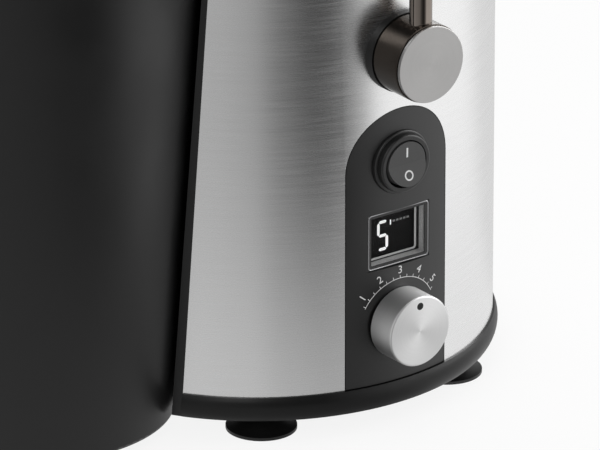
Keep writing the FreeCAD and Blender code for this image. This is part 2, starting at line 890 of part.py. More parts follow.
def build_speed_dial():
    front = panel_face - d.frame_setback
    board_face = front - d.frame_depth
    back = panel_face + d.knob_clearance
    face = back + d.knob_height
    half = d.encoder_width / 2
    bush_end = panel_face + d.encoder_bush_reach
    encoder = new_front_body("speed_encoder", d.knob_z)
    pad(encoder, "XY_Plane", rectangle(-half, -half, half, half), board_face, d.encoder_depth)
    bush_start = board_face + d.encoder_depth / 2
    pad_round(encoder, "XY_Plane", 0, 0, d.encoder_bush, bush_start, bush_end - bush_start)
    shaft_back = panel_inner - d.encoder_shaft_depth
    drill(encoder, 0, 0, shaft_back - d.free_gap, bush_end + 1, d.encoder_shaft + d.running_gap)
    shaft_front = face - d.knob_wall
    shaft = new_front_body("encoder_shaft", d.knob_z)
    turn(shaft, rectangle(0, shaft_back, d.encoder_shaft, shaft_front))
    knob = new_front_body("speed_knob", d.knob_z)
    hub_back = bush_end + d.free_gap
    turn(knob, [
        (0, shaft_front),
        (d.encoder_shaft, shaft_front),
        (d.encoder_shaft, hub_back),
        (d.knob_hub, hub_back),
        (d.knob_hub, back + d.knob_hollow),
        (d.knob_radius - d.knob_wall, back + d.knob_hollow),
        (d.knob_radius - d.knob_wall, back),
        (d.knob_radius, back),
        (d.knob_radius, face - d.knob_edge, d.knob_edge),
        (d.knob_radius - d.knob_edge, face),
        (0, face),
    ])
    inlay = face - d.pointer_depth
    drill_up = d.pointer_depth + 1
    pocket_round(knob, "XY_Plane", 0, d.pointer_circle, d.pointer_radius, face + 1, drill_up)
    pointer = new_front_body("knob_pointer", d.knob_z)
    pad_round(pointer, "XY_Plane", 0, d.pointer_circle, d.pointer_radius, inlay, d.pointer_depth)


# Pivots at the front and the rear: flange outside the steel, boss inside, pin through both, hub on the pin
def build_pivots():
    hub_back = d.shell_radius + d.pivot_flange_height + d.hub_gap
    hub_front = hub_back + d.hub_length
    cap_back = hub_front + d.cap_groove
    cap_front = cap_back + d.cap_thickness
    cap_radius = d.hub_radius - d.cap_inset
    spigot_back = hub_front - d.cap_spigot_depth
    socket_floor = d.hub_radius - d.bar_socket
    spigot = socket_floor - d.cap_spigot_inset
    pin_front = hub_back + d.pivot_pin_reach
    pin_back = shell_inner - d.pivot_pin_depth
    boss_back = shell_inner - d.boss_depth
    far = d.shell_radius + d.pivot_flange_height
    flange_low = d.pivot_z - d.pivot_flange * 2
    flange_high = d.pivot_z + d.pivot_flange * 2
    for side, half_turn in (("front", 0), ("rear", 180)):
        flange = new_body(f"pivot_flange_{side}")
        start = d.shell_radius - d.pivot_flange_height
        pad_round(flange, "XZ_Plane", 0, d.pivot_z, d.pivot_flange, start, far - start)
        turn_away(flange, rectangle(0, flange_low, d.shell_radius, flange_high))
        pocket_round(flange, "XZ_Plane", 0, d.pivot_z, d.pivot_pin, far + 1, far - start + 2)
        place(flange, axis=up, angle=half_turn)
        boss = new_body(f"pivot_boss_{side}")
        pad_round(boss, "XZ_Plane", 0, d.pivot_z, d.boss_radius, boss_back, d.shell_radius - boss_back)
        turn_away(boss, rectangle(shell_inner, flange_low, d.shell_radius * 2, flange_high))
        pocket_round(boss, "XZ_Plane", 0, d.pivot_z, d.pivot_pin, d.shell_radius, d.boss_depth * 2)
        place(boss, axis=up, angle=half_turn)
        pin = new_body(f"pivot_pin_{side}")
        pad_round(pin, "XZ_Plane", 0, d.pivot_z, d.pivot_pin, pin_back, pin_front - pin_back)
        head_back = boss_back - d.pivot_pin_head_height
        pad_round(pin, "XZ_Plane", 0, d.pivot_z, d.pivot_pin_head, head_back, d.pivot_pin_head_height)
        place(pin, axis=up, angle=half_turn)
        axis, angle = (across, 90) if side == "front" else (FreeCAD.Vector(0, 1, 1), 180)
        bore = d.pivot_pin + d.running_gap
        bore_end = pin_front + d.hub_gap
        hub = new_body(f"arm_hub_{side}")
        turn(hub, [
            (bore, hub_back),
            (d.hub_radius, hub_back),
            (d.hub_radius, hub_front - d.hub_edge, d.hub_edge),
            (d.hub_radius - d.hub_edge, hub_front),
            (spigot + d.slip_gap, hub_front),
            (spigot + d.slip_gap, spigot_back),
            (0, spigot_back),
            (0, bore_end),
            (bore, bore_end),
        ])
        pocket_round(hub, "XZ_Plane", 0, bar_offset, d.bar_radius, -socket_floor, d.hub_radius)
        place(hub, z=d.pivot_z, axis=axis, angle=angle)
        cap = new_body(f"hub_cap_{side}")
        turn(cap, [
            (0, spigot_back),
            (spigot, spigot_back),
            (spigot, cap_back),
            (cap_radius, cap_back),
            (cap_radius, cap_front - d.cap_edge, d.cap_edge),
            (cap_radius - d.cap_edge, cap_front),
            (0, cap_front),
        ])
        place(cap, z=d.pivot_z, axis=axis, angle=angle)


# Straight runs joined by tangent arcs, one radius for each inner point
def rounded_path(points, radii):
    edges = []
    start = points[0]
    for before, corner, after, radius in zip(points, points[1:], points[2:], radii):
        arrive = (corner - before).normalize()
        leave = (after - corner).normalize()
        half_turn = arrive.getAngle(leave) / 2
        setback = radius * math.tan(half_turn)
        first = corner - arrive * setback
        last = corner + leave * setback
        inward = (leave - arrive).normalize()
        middle = corner + inward * (radius / math.cos(half_turn) - radius)
        edges.append(Part.LineSegment(start, first).toShape())
        edges.append(Part.Arc(first, middle, last).toShape())
        start = last
    edges.append(Part.LineSegment(start, points[-1]).toShape())
    return Part.Wire(edges)


# Locking bar: one bent rod from hub to hub, whose crossbar holds the lid beside the chute
def build_locking_bar():
    bottom = (d.pivot_z + d.hub_radius - d.bar_socket).value
    knee = d.bar_knee_z.value
    top = bar_top_z.value
    ahead = d.bar_top_x.value
    side = bar_offset.value
    points = [
        FreeCAD.Vector(0, -side, bottom),
        FreeCAD.Vector(0, -side, knee),
        FreeCAD.Vector(ahead, -side, top),
        FreeCAD.Vector(ahead, side, top),
        FreeCAD.Vector(0, side, knee),
        FreeCAD.Vector(0, side, bottom),
    ]
    knee_bend = d.bar_knee_bend.value
    corner_bend = d.bar_corner_bend.value
    path = rounded_path(points, [knee_bend, corner_bend, corner_bend, knee_bend])
    section = Part.Wire(Part.Circle(points[0], up, d.bar_radius.value).toShape())
    bar = doc.addObject("Part::Feature", "locking_bar")
    bar.Label = "locking_bar"
    bar.Shape = path.makePipeShell([section], True, False)
    place(bar)
    parts.append(bar)


def build_safety_switch():
    body = new_body("safety_switch")
    half = d.safety_width / 2
    middle = d.shell_radius - d.safety_inset
    near = middle + d.safety_depth / 2
    low = shell_top - d.safety_height
    pad(body, "XZ_Plane", rectangle(-half, low, half, shell_top), near - d.safety_depth, d.safety_depth)
    lever = rectangle(-half, low - d.safety_lever, half / 2, low)
    pad(body, "XZ_Plane", lever, middle - d.safety_lever / 2, d.safety_lever)


def build_cord_gland():
    body = new_body("cord_gland")
    place(body, z=d.gland_z, axis=across, angle=-90)
    turn(body, [
        (d.gland_bore, d.shell_radius - d.gland_depth),
        (d.gland_radius, d.shell_radius - d.gland_depth),
        (d.gland_radius, d.shell_radius),
        (d.gland_flange, d.shell_radius),
        (d.gland_flange - 1, d.shell_radius + d.gland_flange_height),
        (d.gland_bore, d.shell_radius + d.gland_flange_height),
    ])


def rounded_square(half, corner):
    flat = half - corner
    return [
        (-flat, -half),
        (flat, -half, corner),
        (half, -flat),
        (half, flat, corner),
        (flat, half),
        (-flat, half, corner),
        (-half, flat),
        (-half, -flat, corner),
    ]


def build_stator():
    core = new_body("stator_core")
    pad(core, "XY_Plane", rounded_square(d.stator_half, d.stator_corner), d.stator_z, d.stator_height)
    drill(core, 0, 0, d.stator_z - 1, stator_top + 1, d.stator_bore)
    coils = new_body("field_coils", several=True)
    for low in (d.stator_z - d.coil_height, stator_top):
        wound = turn(coils, rectangle(d.coil_inner, low, d.coil_outer, low + d.coil_height), angle=d.coil_angle)
        repeat(coils, [wound], 2)


# Brackets above and below the stator hold the bearings
def build_brackets():
    shoulder = d.bearing_radius + d.bearing_wall
    upper = new_body("upper_bracket")
    plate = rounded_square(d.bracket_leg_at + d.bracket_leg, d.bracket_leg)
    pad(upper, "XY_Plane", plate, upper_bracket_z, d.bracket_thickness)
    for x, y in four_corners(d.mount_at):
        pad_round(upper, "XY_Plane", x, y, d.mount_pad, upper_bracket_z, d.bracket_thickness)
    bearing_low = upper_bracket_top - d.bearing_width
    pad_round(upper, "XY_Plane", 0, 0, shoulder, bearing_low, d.bearing_width)
    drill(upper, 0, 0, bearing_low - 1, upper_bracket_top + 1, d.bearing_radius)
    rooted = d.bracket_thickness / 2
    for x, y in four_corners(d.bracket_leg_at):
        pad_round(upper, "XY_Plane", x, y, d.bracket_leg, stator_top, d.upper_reach + rooted)
    for x, y in four_corners(d.mount_at):
        drill(upper, x, y, upper_bracket_z - 1, upper_bracket_top + 1, d.mount_screw + d.slip_gap)
    lower = new_body("lower_bracket")
    pad(lower, "XY_Plane", plate, lower_bracket_z, d.bracket_thickness)
    pad_round(lower, "XY_Plane", 0, 0, shoulder, lower_bracket_z, d.bearing_width)
    drill(lower, 0, 0, lower_bracket_z - 1, lower_bracket_z + d.bearing_width + 1, d.bearing_radius)
    for x, y in four_corners(d.bracket_leg_at):
        pad_round(lower, "XY_Plane", x, y, d.bracket_leg, lower_bracket_top - rooted, d.lower_reach + rooted)


def build_bearings():
    for name, low in (("upper", upper_bracket_top - d.bearing_width), ("lower", lower_bracket_z)):
        body = new_body(f"{name}_bearing")
        turn(body, rectangle(d.shaft_radius + d.running_gap, low, d.bearing_radius, low + d.bearing_width))


# Rubber mounts between the motor and the deck posts, with a screw up through each
def build_motor_mounts():
    mounts = new_body("motor_mounts", several=True)
    screws = new_body("motor_screws", several=True)
    hole = d.mount_screw + d.slip_gap
    head_low = upper_bracket_z - d.mount_screw_head_height
    mount_top = upper_bracket_top + d.mount_height
    for at in four_corners(d.mount_at):
        turn(mounts, rectangle(hole, upper_bracket_top, d.mount_radius, mount_top), at)
        turn(screws, [
            (0, head_low),
            (d.mount_screw_head, head_low),
            (d.mount_screw_head, upper_bracket_z),
            (d.mount_screw, upper_bracket_z),
            (d.mount_screw, mount_top + d.mount_screw_depth),
            (0, mount_top + d.mount_screw_depth),
        ], at)


commutator_low = d.stator_z - d.winding_height - d.commutator_gap - d.commutator_height


# Sprung carbon blocks in two box guides stand on the lower bracket and meet the commutator
def build_brushes():
    holders = new_body("brush_holders", several=True)
    brushes = new_body("carbon_brushes", several=True)
    middle = commutator_low + d.commutator_height / 2
    tip = d.commutator_radius + d.brush_gap
    half = d.brush_width / 2
    low = middle - d.brush_height / 2
    outer = half + d.holder_wall
    near = tip + d.holder_setback
    block = rectangle(near, -outer, tip + d.brush_length, outer)
    height = d.brush_height + d.holder_wall
    box = pad(holders, "XY_Plane", block, lower_bracket_top, low - lower_bracket_top + height)
    repeat(holders, [box], 2)
    guide = rectangle(near - 1, -half - d.slip_gap, tip + d.brush_length - d.holder_wall, half + d.slip_gap)
    slot = pocket(holders, "XY_Plane", guide, low + d.brush_height, d.brush_height)
    repeat(holders, [slot], 2)
    carbon = rectangle(tip, -half, tip + d.brush_length - d.holder_wall, half)
    brush = pad(brushes, "XY_Plane", carbon, low, d.brush_height)
    repeat(brushes, [brush], 2)


def build_rotor():
    shaft = new_body("motor_shaft")
    turn(shaft, rectangle(0, lower_bracket_z, d.shaft_radius, drive_top - d.hub_wall))
    core_radius = d.stator_bore - d.air_gap
    core = new_body("armature_core")
    turn(core, rectangle(d.shaft_radius, d.stator_z, core_radius, stator_top))
    coils = new_body("armature_coils", several=True)
    edge = d.winding_edge
    low = d.stator_z - d.winding_height
    turn(coils, [
        (d.shaft_radius, low),
        (d.winding_radius - edge, low, edge),
        (d.winding_radius, low + edge),
        (d.winding_radius, d.stator_z),
        (d.shaft_radius, d.stator_z),
    ])
    high = stator_top + d.winding_height
    turn(coils, [
        (d.shaft_radius, stator_top),
        (d.winding_radius, stator_top),
        (d.winding_radius, high - edge, edge),
        (d.winding_radius - edge, high),
        (d.shaft_radius, high),
    ])
    commutator = new_body("commutator")
    commutator_top = commutator_low + d.commutator_height
    turn(commutator, rectangle(d.shaft_radius, commutator_low, d.commutator_radius, commutator_top))
    fan = new_body("cooling_fan")
    fan_low = stator_top + larger(d.coil_height, d.winding_height) + d.fan_gap
    disc_top = fan_low + d.fan_disc
    fan_top = fan_low + d.fan_height
    turn(fan, [
        (d.shaft_radius, fan_low),
        (d.fan_radius, fan_low),
        (d.fan_radius, disc_top),
        (d.fan_hub, disc_top),
        (d.fan_hub, fan_top),
        (d.shaft_radius, fan_top),
    ])
    half = d.fan_blade / 2
    blade_outline = rectangle(d.fan_hub - 1, -half, d.fan_radius - 1, half)
    blade = pad(fan, "XY_Plane", blade_outline, disc_top - d.fan_disc / 2, fan_top - disc_top + d.fan_disc / 2)
    repeat(fan, [blade], d.fan_blades)


def hexagon(half_flat):
    reach = half_flat / cosine(as_size(30))
    corners = [as_size(60 * step) for step in range(6)]
    return [(reach * cosine(angle), reach * sine(angle)) for angle in corners]


# Six-sided drive on the shaft and the basket hub that drops over it
def build_drive():
    drive = new_body("drive_coupling")
    pad(drive, "XY_Plane", hexagon(d.drive_half_flat), drive_bottom, d.drive_height)
    drill(drive, 0, 0, drive_bottom - 1, drive_top - d.hub_wall, d.shaft_radius)
    hub = new_body("basket_hub")
    hub_low = drive_bottom + d.drive_gap
    crown = drive_top + d.hub_wall
    neck = d.hub_dome
    labyrinth = d.labyrinth_radius - d.labyrinth_wall
    labyrinth_low = basket_bottom - d.labyrinth_height
    turn(hub, [
        (0, hub_low),
        (neck - d.hub_wall / 2, hub_low),
        (neck - d.hub_wall / 2, basket_bottom),
        (labyrinth, basket_bottom),
        (labyrinth, labyrinth_low),
        (d.labyrinth_radius, labyrinth_low),
        (d.labyrinth_radius, basket_bottom),
        (d.basket_radius, basket_bottom),
        (d.basket_radius, flange_top),
        (neck, flange_top),
        (neck, crown),
        (neck / 2, crown + neck / 4),
        (0, crown + neck / 4),
    ])
    socket = hexagon(d.drive_half_flat + d.slip_gap)
    pocket(hub, "XY_Plane", socket, drive_top, d.drive_height)


# Conical sieve with slots, its rim, and the toothed disc on the hub's flange
def build_basket():
    basket = new_body("filter_basket")
    skin = d.mesh_thickness
    turn(basket, [
        (d.basket_radius, basket_bottom),
        (d.basket_radius + skin, basket_bottom),
        (d.basket_radius + skin, flange_top),
        (d.basket_top_radius + skin, basket_top),
        (d.basket_top_radius, basket_top),
        (d.basket_radius, flange_top),
    ])
    half = d.mesh_slot_width / 2
    step = d.basket_height / 6
    window = rectangle(-half, flange_top + step, half, basket_top - step)
    slot = pocket(basket, "XZ_Plane", window, d.basket_top_radius + d.rim_width, d.basket_top_radius)
    repeat(basket, [slot], d.mesh_slots)
    rim = new_body("basket_rim")
    rim_inner = d.basket_top_radius - d.rim_width / 2
    rim_outer = rim_inner + d.rim_width
    turn(rim, rectangle(rim_inner, basket_top, rim_outer, basket_top + d.rim_height))
    disc = new_body("grating_disc")
    disc_top = flange_top + d.disc_thickness
    turn(disc, rectangle(d.hub_dome + d.slip_gap, flange_top, d.disc_radius, disc_top))
    half_length = d.tooth_length / 2
    half_width = d.tooth_width / 2
    teeth = []
    for ring in range(2):
        middle = d.tooth_circle + d.tooth_step * ring
        foot = rectangle(middle - half_length, -half_width, middle + half_length, half_width)
        sunk = d.disc_thickness / 2
        teeth.append(pad(disc, "XY_Plane", foot, disc_top - sunk, d.tooth_height + sunk))
    repeat(disc, teeth, d.tooth_count)


# Round bowl with a turned-down spout
def build_filter_bowl():
    body = new_body("filter_bowl")
    inner = bowl_radius - d.bowl_wall
    rim_low = bowl_top - d.bowl_rim_height
    collar = d.bowl_collar + d.bowl_wall
    collar_high = bowl_floor + d.bowl_collar_height
    turn(body, [
        (d.bowl_collar, seat_top),
        (inner, seat_top, d.bowl_wall),
        (bowl_radius, bowl_floor),
        (bowl_radius, rim_low - d.bowl_rim),
        (bowl_outer, rim_low),
        (bowl_outer, bowl_top),
        (inner, bowl_top),
        (inner, bowl_floor),
        (collar, bowl_floor),
        (collar, collar_high),
        (d.bowl_collar, collar_high),
    ])
    for kind, radius, start in (
        ("AdditivePipe", d.spout_radius, inner + d.bowl_wall / 2),
        ("SubtractivePipe", d.spout_radius - d.spout_wall, inner - d.bowl_wall),
    ):
        drop = d.spout_drop if kind == "AdditivePipe" else d.spout_drop + 1
        spine = new_sketch(body, "XZ_Plane")
        draw_outline(spine, [
            (start, spout_level),
            (spout_reach - d.spout_bend, spout_level, -d.spout_bend),
            (spout_reach, spout_level - d.spout_bend),
            (spout_reach, spout_level - drop),
        ], closed=False)
        section = new_sketch(body, "YZ_Plane", (0, 0, start))
        draw_circle(section, 0, spout_level, radius)
        pipe = body.newObject(f"PartDesign::{kind}", f"{body.Name}_{kind}")
        pipe.Profile = section
        pipe.Spine = (spine, ["Edge1", "Edge2", "Edge3"])
    seal = new_body("bowl_seal")
    middle = (inner + bowl_outer) / 2
    turn(seal, rectangle(middle - d.bowl_wall / 2, bowl_top, middle + d.bowl_wall / 2, lid_bottom))


def hood_outline(inset):
    radius = d.hood_radius - inset
    return [
        (-hood_end, radius),
        (-d.bin_axis, radius, radius),
        (-d.bin_axis - radius, 0, radius),
        (-d.bin_axis, -radius),
        (-hood_end, -radius),
    ]


def dome_outline(inset, bottom):
    crown = d.lid_crown - inset
    outer = bowl_outer - inset
    top = lid_top - inset
    return [(0, bottom), (outer, bottom), (outer, top - crown, crown), (outer - crown, top), (0, top)]


# Clear lid: a dome over the bowl, a hood over the bin, the feed chute and two saddles for the bar
def build_lid():
    body = new_body("lid")
    wall = d.lid_wall
    ceiling = hood_top - wall
    inner_end = -hood_end.value - 0.01
    pad(body, "XY_Plane", hood_outline(0), hood_bottom, d.hood_height)
    round_level(body, hood_top, d.hood_round, lambda edge: edge.BoundBox.XMin < inner_end)
    pocket(body, "XY_Plane", hood_outline(wall), ceiling, d.hood_height)
    round_level(body, ceiling, d.hood_round - wall, lambda edge: edge.BoundBox.XMin < inner_end)
    turn(body, dome_outline(0, lid_bottom))
    turn_away(body, dome_outline(wall, lid_bottom - 1))
    mouth = ceiling - d.hood_round + wall
    pocket(body, "XY_Plane", hood_outline(wall), mouth, mouth - lid_bottom)
    clear = larger(bowl_outer, d.shell_radius) + d.free_gap
    turn_away(body, rectangle(0, hood_bottom - 1, clear, lid_bottom))
    chute = d.chute_radius
    outer = chute + d.chute_wall
    at = (-d.chute_offset, 0)
    chute_low = lid_bottom + d.chute_drop
    turn(body, [
        (chute, chute_low),
        (outer, chute_low),
        (outer, d.chute_top - d.chute_rim_height - d.chute_rim),
        (outer + d.chute_rim, d.chute_top - d.chute_rim_height),
        (outer + d.chute_rim, d.chute_top),
        (chute, d.chute_top),
    ], at)
    drill(body, *at, chute_low - 1, d.chute_top + 1, chute)
    swing = root(d.bar_top_x * d.bar_top_x + (bar_top_z - d.pivot_z) * (bar_top_z - d.pivot_z))
    reach = swing - d.bar_radius - d.free_gap
    near = d.bar_top_x - d.saddle_half_length
    far = d.bar_top_x + d.saddle_half_length
    low = lid_top - wall / 2
    near_high = d.pivot_z + root(reach * reach - near * near)
    far_high = d.pivot_z + root(reach * reach - far * far)
    saddle = [(near, low), (far, low), (far, far_high, reach), (near, near_high)]
    for side in (-1, 1):
        middle = d.saddle_at * side
        pad(body, "XZ_Plane", saddle, middle - d.saddle_width / 2, d.saddle_width)


def build_pusher():
    body = new_body("pusher")
    outer = d.chute_radius - d.pusher_gap
    inner = outer - d.pusher_wall
    low = lid_bottom + d.chute_drop + d.pusher_lift
    high = d.chute_top + d.pusher_flange_height
    edge = d.pusher_edge
    turn(body, [
        (0, low),
        (outer - edge, low, edge),
        (outer, low + edge),
        (outer, d.chute_top),
        (d.pusher_flange, d.chute_top),
        (d.pusher_flange, high - edge, edge),
        (d.pusher_flange - edge, high),
        (inner + edge, high, edge),
        (inner, high - edge),
        (inner, low + d.pusher_floor),
        (0, low + d.pusher_floor),
    ])
    place(body, -d.chute_offset)


# Tapered bin on an inset foot ring
def build_pulp_bin():
    body = new_body("pulp_bin")
    corner = d.bin_corner
    rim_low = bin_top - d.bin_rim_height
    shoulder = bin_at(rim_low)
    floor = d.bin_lift + d.bin_floor
    turn(body, [
        (d.bin_foot_radius - d.bin_foot_wall, 0),
        (d.bin_foot_radius, 0),
        (d.bin_foot_radius, d.bin_lift),
        (d.bin_radius - corner, d.bin_lift, corner),
        (bin_at(d.bin_lift + corner), d.bin_lift + corner),
        (shoulder, rim_low),
        (shoulder + d.bin_rim, rim_low),
        (shoulder + d.bin_rim, bin_top),
        (shoulder - d.bin_wall, bin_top),
        (d.bin_radius - d.bin_wall, floor),
        (0, floor),
        (0, d.bin_lift),
        (d.bin_foot_radius - d.bin_foot_wall, d.bin_lift),
    ])
    place(body, -d.bin_axis)


build_base_pan()
build_suction_feet()
build_base_screws()
build_steel_shell()
build_bin_nest()
build_top_deck()
build_spindle_seal()
build_control_panel()
build_switch()
build_display()
build_speed_dial()
build_pivots()
build_locking_bar()
build_safety_switch()
build_cord_gland()
build_stator()
build_brackets()
build_bearings()
build_motor_mounts()
build_brushes()
build_rotor()
build_drive()
build_basket()
build_filter_bowl()
build_lid()
build_pusher()
build_pulp_bin()

doc.recompute()
for item in doc.Objects:
    if "Invalid" in item.State or "Error" in item.State:
        raise RuntimeError(f"{item.Label} could not be made")
for part in parts:
    if part.Shape.isNull() or not part.Shape.isValid():
        raise RuntimeError(f"{part.Label} has no valid shape")
for part in parts:
    part.Shape.exportStep(f"parts/{part.Label}.step")
print(len(parts), "sub-parts written")
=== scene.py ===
import math

import bmesh
import bpy
from mathutils import Matrix, Vector


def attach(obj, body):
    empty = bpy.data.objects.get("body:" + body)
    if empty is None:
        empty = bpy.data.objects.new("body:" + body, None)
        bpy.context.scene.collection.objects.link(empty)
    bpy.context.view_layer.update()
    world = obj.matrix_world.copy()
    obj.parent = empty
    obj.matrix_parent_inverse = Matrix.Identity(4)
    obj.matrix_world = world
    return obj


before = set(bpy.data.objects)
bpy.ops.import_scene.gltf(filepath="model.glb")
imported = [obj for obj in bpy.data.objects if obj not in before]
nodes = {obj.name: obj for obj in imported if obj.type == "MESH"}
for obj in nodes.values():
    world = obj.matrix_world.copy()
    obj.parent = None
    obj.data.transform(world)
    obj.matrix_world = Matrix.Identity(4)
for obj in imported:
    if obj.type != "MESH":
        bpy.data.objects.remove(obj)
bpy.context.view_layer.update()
scene = bpy.context.scene
print("frame loaded,", len(nodes), "nodes")

# all lengths in metres, the motor's axis stands at x = axisX and the panel faces towards -Y
axisX = 0.035
shellRadius = 0.105
knobZ = 0.0486
hubZ = 0.176
towardsFront = Vector((0, -1, 0))
noiseRange = (0.3, 0.7)


class Wire:
    def __init__(self, graph, socket):
        self.graph = graph
        self.socket = socket

    def __add__(self, other):
        return self.graph.sum("ADD", self, other)

    __radd__ = __add__

    def __mul__(self, other):
        return self.graph.sum("MULTIPLY", self, other)

    __rmul__ = __mul__

    def __sub__(self, other):
        return self.graph.sum("SUBTRACT", self, other)

    def __rsub__(self, other):
        return self.graph.sum("SUBTRACT", other, self)

    def __truediv__(self, other):
        return self.graph.sum("DIVIDE", self, other)

    def __pow__(self, other):
        return self.graph.sum("POWER", self, other)


class Graph:
    def __init__(self, tree):
        self.tree = tree

    def add(self, kind, settings=None, values=None):
        node = self.tree.nodes.new(kind)
        for key, value in (settings or {}).items():
            if key == "stops":
                self.setStops(node.color_ramp, value)
            else:
                setattr(node, key, value)
        for key, value in (values or {}).items():
            if isinstance(value, Wire):
                self.tree.links.new(value.socket, node.inputs[key])
            else:
                node.inputs[key].default_value = value
        return node

    def setStops(self, ramp, stops):
        while len(ramp.elements) < len(stops):
            ramp.elements.new(1.0)
        for element, (position, colour) in zip(ramp.elements, stops):
            element.position = position
            element.color = colour

    def wire(self, kind, output, settings=None, values=None):
        return Wire(self, self.add(kind, settings, values).outputs[output])

    def sum(self, operation, first, second):
        return self.wire("ShaderNodeMath", 0, {"operation": operation}, {0: first, 1: second})

    def place(self):
        return self.wire("ShaderNodeTexCoord", "Object")

    def split(self, vector):
        return [Wire(self, socket) for socket in self.add("ShaderNodeSeparateXYZ", None, {0: vector}).outputs]

    def vector(self, x, y, z):
        return self.wire("ShaderNodeCombineXYZ", 0, None, {0: x, 1: y, 2: z})

    def noise(self, vector, scale, detail=3.0, rough=0.5):
        values = {"Vector": vector, "Scale": scale, "Detail": detail, "Roughness": rough}
        return self.wire("ShaderNodeTexNoise", "Fac", None, values)

    def blendColour(self, factor, first, second):
        return self.wire("ShaderNodeMix", 2, {"data_type": "RGBA"}, {0: factor, 6: first, 7: second})

    def spread(self, value, low, high, newLow, newHigh):
        values = {0: value, 1: low, 2: high, 3: newLow, 4: newHigh}
        return self.wire("ShaderNodeMapRange", 0, {"interpolation_type": "SMOOTHSTEP"}, values)

    def fromNoise(self, noise, newLow, newHigh):
        return self.spread(noise, *noiseRange, newLow, newHigh)

    def ripple(self, angle):
        return self.sum("COSINE", angle, 0.0) * 0.5 + 0.5

    def bump(self, height, strength, distance):
        values = {"Height": height, "Strength": strength, "Distance": distance}
        return self.wire("ShaderNodeBump", 0, None, values)

    def rayKind(self, *names):
        path = self.add("ShaderNodeLightPath")
        return [Wire(self, path.outputs[name]) for name in names]

    def close(self, values):
        shader = self.wire("ShaderNodeBsdfPrincipled", 0, None, values)
        self.add("ShaderNodeOutputMaterial", None, {"Surface": shader})


def tone(grey, warm=0.0):
    return (grey * (1 + warm), grey, grey * (1 - warm), 1.0)


def darken(colour, share):
    return tuple(channel * share for channel in colour[:3]) + (1.0,)


def emptyGraph(owner):
    owner.use_nodes = True
    owner.node_tree.nodes.clear()
    return Graph(owner.node_tree)


def newFinish(name):
    material = bpy.data.materials.new(name)
    return material, emptyGraph(material)


# brushed sheet: fine lines run round the shell, streaks drift along them
shellLook = {"lineTurn": 4.0, "lineRise": 2600.0, "lineDetail": 4.0, "lineRough": 0.6,
             "streakTurn": 2.5, "streakRise": 420.0, "streakLayer": 3.0, "lineShare": 0.7,
             "dark": 0.84, "pale": 0.895, "rough": 0.21, "spread": 0.1, "bump": 0.06, "relief": 0.0002}


def brushedShell(name):
    plan = shellLook
    material, look = newFinish(name)
    x, y, z = look.split(look.place())
    turn = look.sum("ARCTAN2", y, x - axisX)
    linePlace = look.vector(turn * plan["lineTurn"], z * plan["lineRise"], 0.0)
    lines = look.noise(linePlace, 1.0, plan["lineDetail"], plan["lineRough"])
    streakPlace = look.vector(turn * plan["streakTurn"], z * plan["streakRise"], plan["streakLayer"])
    streaks = look.noise(streakPlace, 1.0)
    mixed = look.fromNoise(lines * plan["lineShare"] + streaks * (1.0 - plan["lineShare"]), 0.0, 1.0)
    look.close({
        "Base Color": look.blendColour(mixed, tone(plan["dark"]), tone(plan["pale"])),
        "Metallic": 1.0,
        "Roughness": mixed * plan["spread"] + plan["rough"],
        "Normal": look.bump(lines, plan["bump"], plan["relief"]),
    })
    return material


# moulded plastic: fine spark-eroded grain with a slow change of tone and gloss
mouldLook = {"slow": 22.0, "fineShare": 0.2, "dark": 0.8, "pale": 1.25, "swing": 0.05, "relief": 0.0002}


def mouldedPlastic(name, grey, rough, grain, bump, gloss=0.5):
    plan = mouldLook
    material, look = newFinish(name)
    place = look.place()
    fine = look.noise(place, grain, 2.0)
    slow = look.noise(place, plan["slow"])
    mixed = fine * plan["fineShare"] + slow * (1.0 - plan["fineShare"])
    look.close({
        "Base Color": look.blendColour(mixed, tone(grey * plan["dark"]), tone(grey * plan["pale"])),
        "Roughness": look.fromNoise(slow, rough - plan["swing"], rough + plan["swing"]),
        "Specular IOR Level": gloss,
        "Normal": look.bump(fine, bump, plan["relief"]),
    })
    return material


# satin plastic of the display's frame: dark at the front and on the floor, with the walls between them painted pale
# as painted light
recessLook = {"front": -0.1034, "floor": -0.0986, "fadeStart": 0.0002, "fadeEnd": 0.0007, "dark": 0.012, "wall": 0.6,
              "grain": 1500.0, "grainShare": 0.2, "smooth": 0.26, "rough": 0.34, "bump": 0.04, "relief": 0.0002}


def recessPlastic(name):
    plan = recessLook
    material, look = newFinish(name)
    place = look.place()
    y = look.split(place)[1]
    fine = look.noise(place, plan["grain"], 2.0)
    behindFront = look.spread(y, plan["front"] + plan["fadeStart"], plan["front"] + plan["fadeEnd"], 0.0, 1.0)
    beforeFloor = look.spread(y, plan["floor"] - plan["fadeEnd"], plan["floor"] - plan["fadeStart"], 1.0, 0.0)
    # painted light: the recess walls between the front and the floor are painted pale, standing in for light falling
    # on them
    wall = behindFront * beforeFloor * (fine * plan["grainShare"] + (1.0 - plan["grainShare"]))
    look.close({
        "Base Color": look.blendColour(wall, tone(plan["dark"]), tone(plan["wall"])),
        "Roughness": look.fromNoise(fine, plan["smooth"], plan["rough"]),
        "Normal": look.bump(fine, plan["bump"], plan["relief"]),
    })
    return material


# spun metal: rings about an axis that runs along Y, with a painted sheen (a painted reflection) that is two-fold on
# the face and four-fold on the side
spunLook = {"ring": 4200.0, "ringDepth": 3600.0, "ringRough": 0.6, "arc": 900.0, "arcTurn": 1.5, "ringShare": 0.7,
            "faceStart": 2.2, "sideStart": 5.445, "edgeFade": 0.0004, "plainDepth": 0.36, "paintedSheenDepth": 0.55,
            "dark": 0.5, "pale": 1.12, "smoother": 0.04, "rougher": 0.05, "bump": 0.35, "relief": 0.00012}


